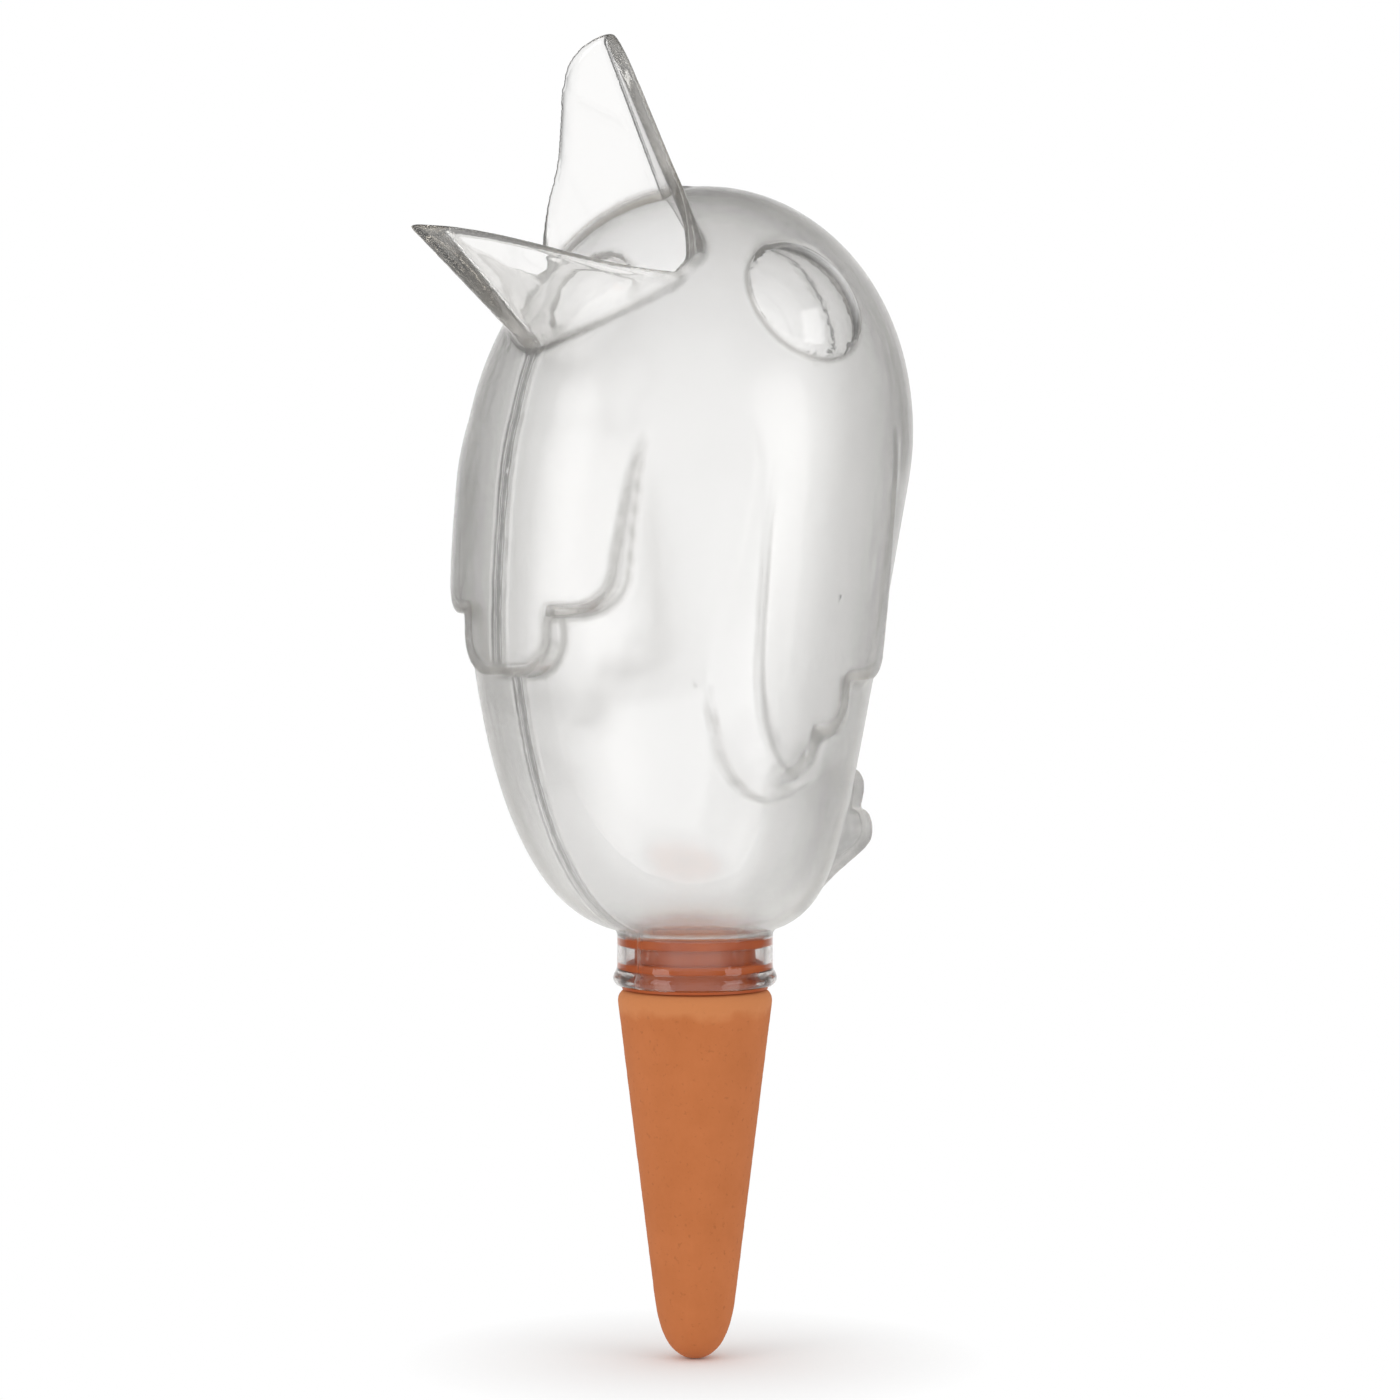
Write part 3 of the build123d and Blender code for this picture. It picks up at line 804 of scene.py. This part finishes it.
for half in halves.values():
    points = points_of(half)
    sharpness = evened(half, sharpness_of(half), 2)
    crease_shade = np.clip((sharpness - CREASE_FROM) / CREASE_SPAN, 0, 1)
    crease_shade = crease_shade * (np.abs(points[:, 0]) > WELD_HALF_WIDTH)
    on_wing = on_wing_side(points, CREST_LOWEST)
    aside, along = side_of_line(points[on_wing][:, 1:], smooth_line(CREST_LINE))
    drawn = eased((CREST_REACH - np.abs(aside - CREST_MIDDLE)) / CREST_FADE)
    drawn = CREST_SHADE * drawn * eased(along / CREST_START)
    by_crest = (np.abs(aside) < CREST_BESIDE) & (along < CREST_END)
    crease_shade[on_wing] = np.where(by_crest, drawn, crease_shade[on_wing])
    # The attribute is painted shade: it greys the plastic along the creases.
    keep_on_mesh(half, "crease_shade", crease_shade)
    print(half.name, "creased share", round(float(crease_shade.mean()), 3))

# %% [markdown]
# Clear polystyrene is hard and glossy with an index of refraction of 1.59. Seen
# through its thickness it is a warm grey, which draws the dark edges of the beak, so
# the material has a weak absorption inside. The blasted satin is a rough surface that
# spreads the light: the belly looks milky, and what stands behind it is blurred. Its
# grain is too fine to show, so only slow clouds in it are drawn. Like a thin frost, it
# also lets a share of the light straight through, most of it low on the belly. The
# creases get a painted grey shade, and the weld is a low rib with a groove in it, which
# a bump draws with edges that wander as molten plastic does.

# %% Moulded clear polystyrene: finish
SATIN_FROM, SATIN_TO = 0.19, 0.25
POLISHED = 0.04
SATIN_CLOUD = 9 * MM
MELT_SIZE, MELT_WANDER = 3 * MM, 0.5 * MM
RIB_FLAT, RIB_EDGE = 1.7 * MM, 2.6 * MM
GROOVE_FLAT, GROOVE_EDGE = 0.35 * MM, 0.75 * MM
WELD_HEIGHT = 0.1 * MM
plastic, tree, output = new_material("clear_polystyrene_moulded")
place = add_node(tree, "ShaderNodeTexCoord").outputs["Object"]
polished = add_node(tree, "ShaderNodeAttribute", {"attribute_name": "polish"})
# The crease attribute is painted shade for the creases.
creased = add_node(tree, "ShaderNodeAttribute", {"attribute_name": "crease_shade"})
matt = add_node(
    tree, "ShaderNodeMath", {"operation": "SUBTRACT"}, _0=1.0, _1=polished.outputs["Fac"]
)
satin_grain = add_node(
    tree, "ShaderNodeTexNoise", Vector=place, Scale=1 / SATIN_CLOUD, Detail=3.0
)
satin = add_node(
    tree, "ShaderNodeMapRange", Value=satin_grain.outputs["Fac"], To_Min=SATIN_FROM, To_Max=SATIN_TO
)
roughness = add_node(
    tree, "ShaderNodeMix", {"data_type": "FLOAT"},
    _0=polished.outputs["Fac"], _2=satin.outputs[0], _3=POLISHED,
)
across = add_node(tree, "ShaderNodeSeparateXYZ", Vector=place)
from_seam = add_node(tree, "ShaderNodeMath", {"operation": "ABSOLUTE"}, _0=across.outputs["X"])
melt = add_node(tree, "ShaderNodeTexNoise", Vector=place, Scale=1 / MELT_SIZE, Detail=2.0)
uneven = add_node(
    tree, "ShaderNodeMath", {"operation": "MULTIPLY_ADD"},
    _0=melt.outputs["Fac"], _1=MELT_WANDER, _2=from_seam.outputs[0],
)
rib = add_node(
    tree, "ShaderNodeMapRange", SOFT_STEP, Value=uneven.outputs[0],
    From_Min=RIB_FLAT, From_Max=RIB_EDGE, To_Min=1.0, To_Max=0.0,
)
groove = add_node(
    tree, "ShaderNodeMapRange", SOFT_STEP, Value=uneven.outputs[0],
    From_Min=GROOVE_FLAT, From_Max=GROOVE_EDGE, To_Min=-1.0, To_Max=0.0,
)
bead = add_node(
    tree, "ShaderNodeMath", {"operation": "ADD"}, _0=rib.outputs[0], _1=groove.outputs[0]
)
weld = add_node(
    tree, "ShaderNodeBump",
    Strength=matt.outputs[0], Distance=WELD_HEIGHT, Height=bead.outputs[0],
)
print("weld rib:", RIB_EDGE / MM, "mm to each side of the seam")

# %% [markdown]
# The finish goes into one glass-like shader, mixed with a clear one for the light that
# passes straight. That light also has to reach the seal inside: light that is bent
# through glass arrives as slow, grainy specks, so for shadow rays and diffuse rays the
# whole wall counts as clear.

# %% Moulded clear polystyrene: light through the wall
# The grey for the creases is painted shade, not a colour of the plastic.
PAINTED_CREASE_SHADE = "#C6C5C3"
WALL_TINT, WALL_DENSITY = "#D1C5AA", 25.0
STRAIGHT_LOW, STRAIGHT_HIGH = 0.36, 0.16
LOW_BELLY, HIGH_BELLY = 15 * MM, 65 * MM
STRAIGHT_POLISHED = 0.12
# Painted shade: the crease attribute mixes that grey into the satin's colour.
line = add_node(
    tree, "ShaderNodeMath", {"operation": "MULTIPLY"},
    _0=creased.outputs["Fac"], _1=matt.outputs[0],
)
tint = add_node(
    tree, "ShaderNodeMix", {"data_type": "RGBA"},
    _0=line.outputs[0], _6=linear("#FFFFFF"), _7=linear(PAINTED_CREASE_SHADE),
)
clear = add_node(
    tree, "ShaderNodeBsdfPrincipled",
    Base_Color=tint.outputs[2], Roughness=roughness.outputs[0], IOR=1.59,
    Transmission_Weight=1.0, Normal=weld.outputs[0],
)
inside = add_node(
    tree, "ShaderNodeVolumeAbsorption", Color=linear(WALL_TINT), Density=WALL_DENSITY
)
thin_satin = add_node(
    tree, "ShaderNodeMapRange", Value=across.outputs["Z"],
    From_Min=LOW_BELLY, From_Max=HIGH_BELLY, To_Min=STRAIGHT_LOW, To_Max=STRAIGHT_HIGH,
)
straight_wall = add_node(
    tree, "ShaderNodeMix", {"data_type": "FLOAT"},
    _0=polished.outputs["Fac"], _2=thin_satin.outputs[0], _3=STRAIGHT_POLISHED,
)
rays = add_node(tree, "ShaderNodeLightPath")
lighting = add_node(
    tree, "ShaderNodeMath", {"operation": "MAXIMUM"},
    _0=rays.outputs["Is Shadow Ray"], _1=rays.outputs["Is Diffuse Ray"],
)
straight_share = add_node(
    tree, "ShaderNodeMath", {"operation": "MAXIMUM"},
    _0=lighting.outputs[0], _1=straight_wall.outputs[0],
)
straight = add_node(tree, "ShaderNodeBsdfTransparent", Color=linear("#FEFEFE"))
shell = add_node(
    tree, "ShaderNodeMixShader",
    _0=straight_share.outputs[0], _1=clear.outputs[0], _2=straight.outputs[0],
)
tree.links.new(shell.outputs[0], output.inputs["Surface"])
tree.links.new(inside.outputs[0], output.inputs["Volume"])
for node_name, half in halves.items():
    half.data.materials.append(plastic)
    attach(half, "bird")
    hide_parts(node_name)
print("plastic on", [half.name for half in halves.values()])

# %% [markdown]
# The seal is a moulded rubber sleeve with two lips. The lips press on the neck's bore,
# and where rubber touches the clear wall without any air between, its colour fills the
# wall. So a copy of the CAD seal gets lips that are a tenth of a millimetre wider.

# %% The lipped seal
LIP_FROM = 12.4
LIP_PRESS = 0.1
COLLAR_TOP = 1.0
SEAL_SHARP_EDGE = math.radians(40)
seal = merged_copy("seal_sleeve", "lipped_seal")
points = points_of(seal)
radius = np.hypot(points[:, 0], points[:, 1])
on_lip = (radius > LIP_FROM) & (points[:, 2] > COLLAR_TOP)
points[on_lip, :2] *= 1 + LIP_PRESS / radius[on_lip, None]
set_points(seal, points)
bpy.ops.object.shade_smooth_by_angle(angle=SEAL_SHARP_EDGE)
print("lips reach", round(float(radius.max() + LIP_PRESS), 2), "mm")

# %% [markdown]
# Moulded rubber is neither matt nor glossy: a soft sheen runs along the lips. Its
# orange brown is a little cloudy, because the pigment never mixes in quite evenly.

# %% Moulded seal rubber
RUBBER_CLOUD = 6 * MM
RUBBER_DARK, RUBBER_LIGHT = "#9C3C06", "#BC5A14"
rubber, tree, output = new_material("orange_rubber_moulded")
place = add_node(tree, "ShaderNodeTexCoord").outputs["Object"]
cloud = add_node(tree, "ShaderNodeTexNoise", Vector=place, Scale=1 / RUBBER_CLOUD, Detail=2.0)
tint = add_node(
    tree, "ShaderNodeMix", {"data_type": "RGBA"},
    _0=cloud.outputs["Fac"], _6=linear(RUBBER_DARK), _7=linear(RUBBER_LIGHT),
)
skin = add_node(
    tree, "ShaderNodeBsdfPrincipled", Base_Color=tint.outputs[2], Roughness=0.42, IOR=1.5
)
tree.links.new(skin.outputs[0], output.inputs["Surface"])
seal.data.materials.append(rubber)
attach(seal, "seal")
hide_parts("seal_sleeve")
print("rubber on", seal.name)

# %% [markdown]
# The cone is fired, unglazed clay, slip cast in a plaster mould, so its skin is a
# little uneven. A copy of the CAD cone is rebuilt from voxels, and a fine noise pushes
# its outside in and out by a few hundredths of a millimetre. The spigot inside the
# seal stays smooth, so that nothing rubs.

# %% The clay cone
CLAY_VOXEL, CLAY_ROUNDS = 0.5 * MM, 2
SHOULDER = -0.6
CONE_AXIS_CLEAR = 3.0
GRIT_SIZE, GRIT_DETAIL = 1.6 * MM, 3
GRIT_HEIGHT, GRIT_LEVEL = 0.12 * MM, 0.6
cone = merged_copy("clay_cone", "clay_spike")
soften(cone, CLAY_VOXEL, CLAY_ROUNDS)
points = points_of(cone)
from_axis = np.hypot(points[:, 0], points[:, 1])
chosen = np.nonzero((points[:, 2] < SHOULDER) & (from_axis > CONE_AXIS_CLEAR))[0]
rough_side = cone.vertex_groups.new(name="outside")
rough_side.add([int(i) for i in chosen], 1.0, "REPLACE")
grit = bpy.data.textures.new("clay_grit", "CLOUDS")
grit.noise_scale = GRIT_SIZE
grit.noise_depth = GRIT_DETAIL
bumps = cone.modifiers.new("grit", "DISPLACE")
bumps.texture = grit
bumps.texture_coords = "LOCAL"
bumps.strength = GRIT_HEIGHT
bumps.mid_level = GRIT_LEVEL
bumps.vertex_group = rough_side.name
bpy.ops.object.modifier_apply(modifier=bumps.name)
print(cone.name, len(cone.data.polygons), "faces")

# %% [markdown]
# Fired clay has no shine at all. The kiln leaves soft blotches of lighter and darker
# orange, grains in the clay burn to small dark specks, and a paler, dusty band with a
# ragged lower edge runs round the top, where the cone was wiped.

# %% Unglazed terracotta
CLAY_BLOTCH, CLAY_SPECK, CLAY_RAGGED = 11 * MM, 0.9 * MM, 5 * MM
CLAY_DARK, CLAY_LIGHT = "#B86731", "#D07C48"
SPECK_COLOUR, SPECK_SHARE = "#99542A", 0.35
SPECK_FROM, SPECK_FULL = 0.62, 0.75
DUST_COLOUR, DUST_SHARE = "#D58A55", 0.65
DUST_FROM, DUST_FULL = -2.4 * MM, -0.6 * MM
clay, tree, output = new_material("terracotta_slip_cast")
place = add_node(tree, "ShaderNodeTexCoord").outputs["Object"]
blotch = add_node(
    tree, "ShaderNodeTexNoise",
    Vector=place, Scale=1 / CLAY_BLOTCH, Detail=5.0, Roughness=0.62,
)
base = add_node(
    tree, "ShaderNodeMix", {"data_type": "RGBA"},
    _0=blotch.outputs["Fac"], _6=linear(CLAY_DARK), _7=linear(CLAY_LIGHT),
)
speck = add_node(tree, "ShaderNodeTexNoise", Vector=place, Scale=1 / CLAY_SPECK, Detail=2.0)
dark = add_node(
    tree, "ShaderNodeMapRange", Value=speck.outputs["Fac"],
    From_Min=SPECK_FROM, From_Max=SPECK_FULL, To_Min=0.0, To_Max=SPECK_SHARE,
)
specked = add_node(
    tree, "ShaderNodeMix", {"data_type": "RGBA"},
    _0=dark.outputs[0], _6=base.outputs[2], _7=linear(SPECK_COLOUR),
)
level = add_node(tree, "ShaderNodeSeparateXYZ", Vector=place)
ragged = add_node(tree, "ShaderNodeTexNoise", Vector=place, Scale=1 / CLAY_RAGGED, Detail=5.0)
wander = add_node(
    tree, "ShaderNodeMath", {"operation": "MULTIPLY_ADD"},
    _0=ragged.outputs["Fac"], _1=CLAY_RAGGED, _2=level.outputs["Z"],
)
dusty = add_node(
    tree, "ShaderNodeMapRange", Value=wander.outputs[0],
    From_Min=DUST_FROM, From_Max=DUST_FULL, To_Min=0.0, To_Max=DUST_SHARE,
)
dusted = add_node(
    tree, "ShaderNodeMix", {"data_type": "RGBA"},
    _0=dusty.outputs[0], _6=specked.outputs[2], _7=linear(DUST_COLOUR),
)
earth = add_node(
    tree, "ShaderNodeBsdfPrincipled", Base_Color=dusted.outputs[2], Roughness=0.88, IOR=1.5
)
tree.links.new(earth.outputs[0], output.inputs["Surface"])
cone.data.materials.append(clay)
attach(cone, "cone")
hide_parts("clay_cone")
print("clay on", cone.name)

# %% [markdown]
# The last cell ends the script.

# %% Finish
print("scene done")
